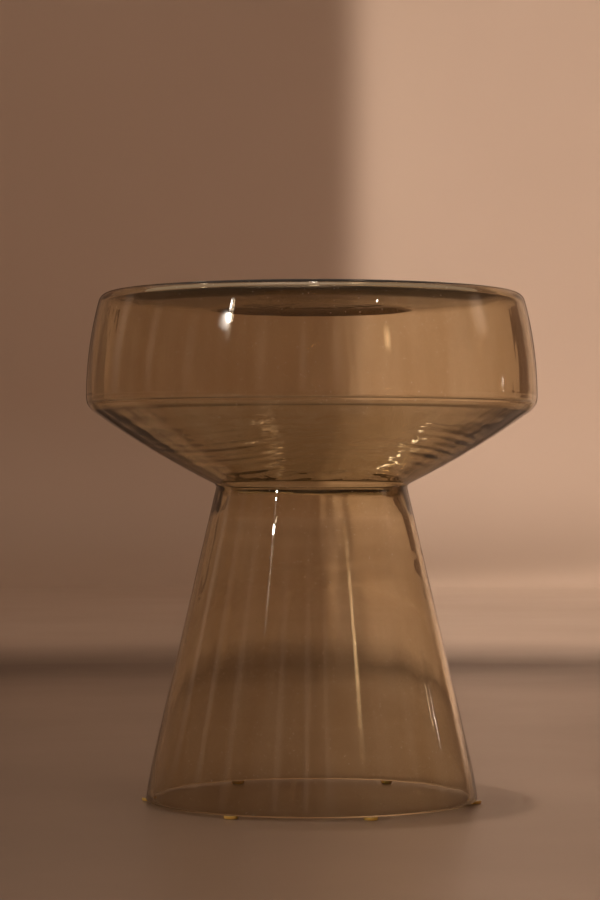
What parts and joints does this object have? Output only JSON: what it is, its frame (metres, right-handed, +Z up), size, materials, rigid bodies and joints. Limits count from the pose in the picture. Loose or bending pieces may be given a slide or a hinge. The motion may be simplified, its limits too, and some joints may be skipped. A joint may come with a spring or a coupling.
{
  "type": "glass side table",
  "caption": "Waisted side table blown from smoky amber glass: a conical foot open underneath, a narrow waist, a shallow dish and a closed flat-topped drum, on stick-on bumper pads.",
  "frame": {"origin": "on the floor, on the axis of the glass, level with the undersides of the bumper pads", "axes": "+Z up along the axis of the glass, -Y towards the front, +X to the right when seen from the front"},
  "size_m": [0.3999, 0.4, 0.45],
  "materials": {
    "amber_glass": "clear smoky amber blown glass, polished by the mould and the fire, with faint cords, seeds and a ground and polished rim",
    "pad_rubber": "translucent honey-coloured polyurethane, slightly dull on the toe",
    "clear_tape": "clear double-sided tape"
  },
  "bodies": {
    "root": {"glass_body": "amber_glass", "right_bumper_pad": "pad_rubber", "right_pad_tape": "clear_tape", "back_right_bumper_pad": "pad_rubber", "back_right_pad_tape": "clear_tape", "back_left_bumper_pad": "pad_rubber", "back_left_pad_tape": "clear_tape", "left_bumper_pad": "pad_rubber", "left_pad_tape": "clear_tape", "front_left_bumper_pad": "pad_rubber", "front_left_pad_tape": "clear_tape", "front_right_bumper_pad": "pad_rubber", "front_right_pad_tape": "clear_tape"}
  },
  "joints": []
}
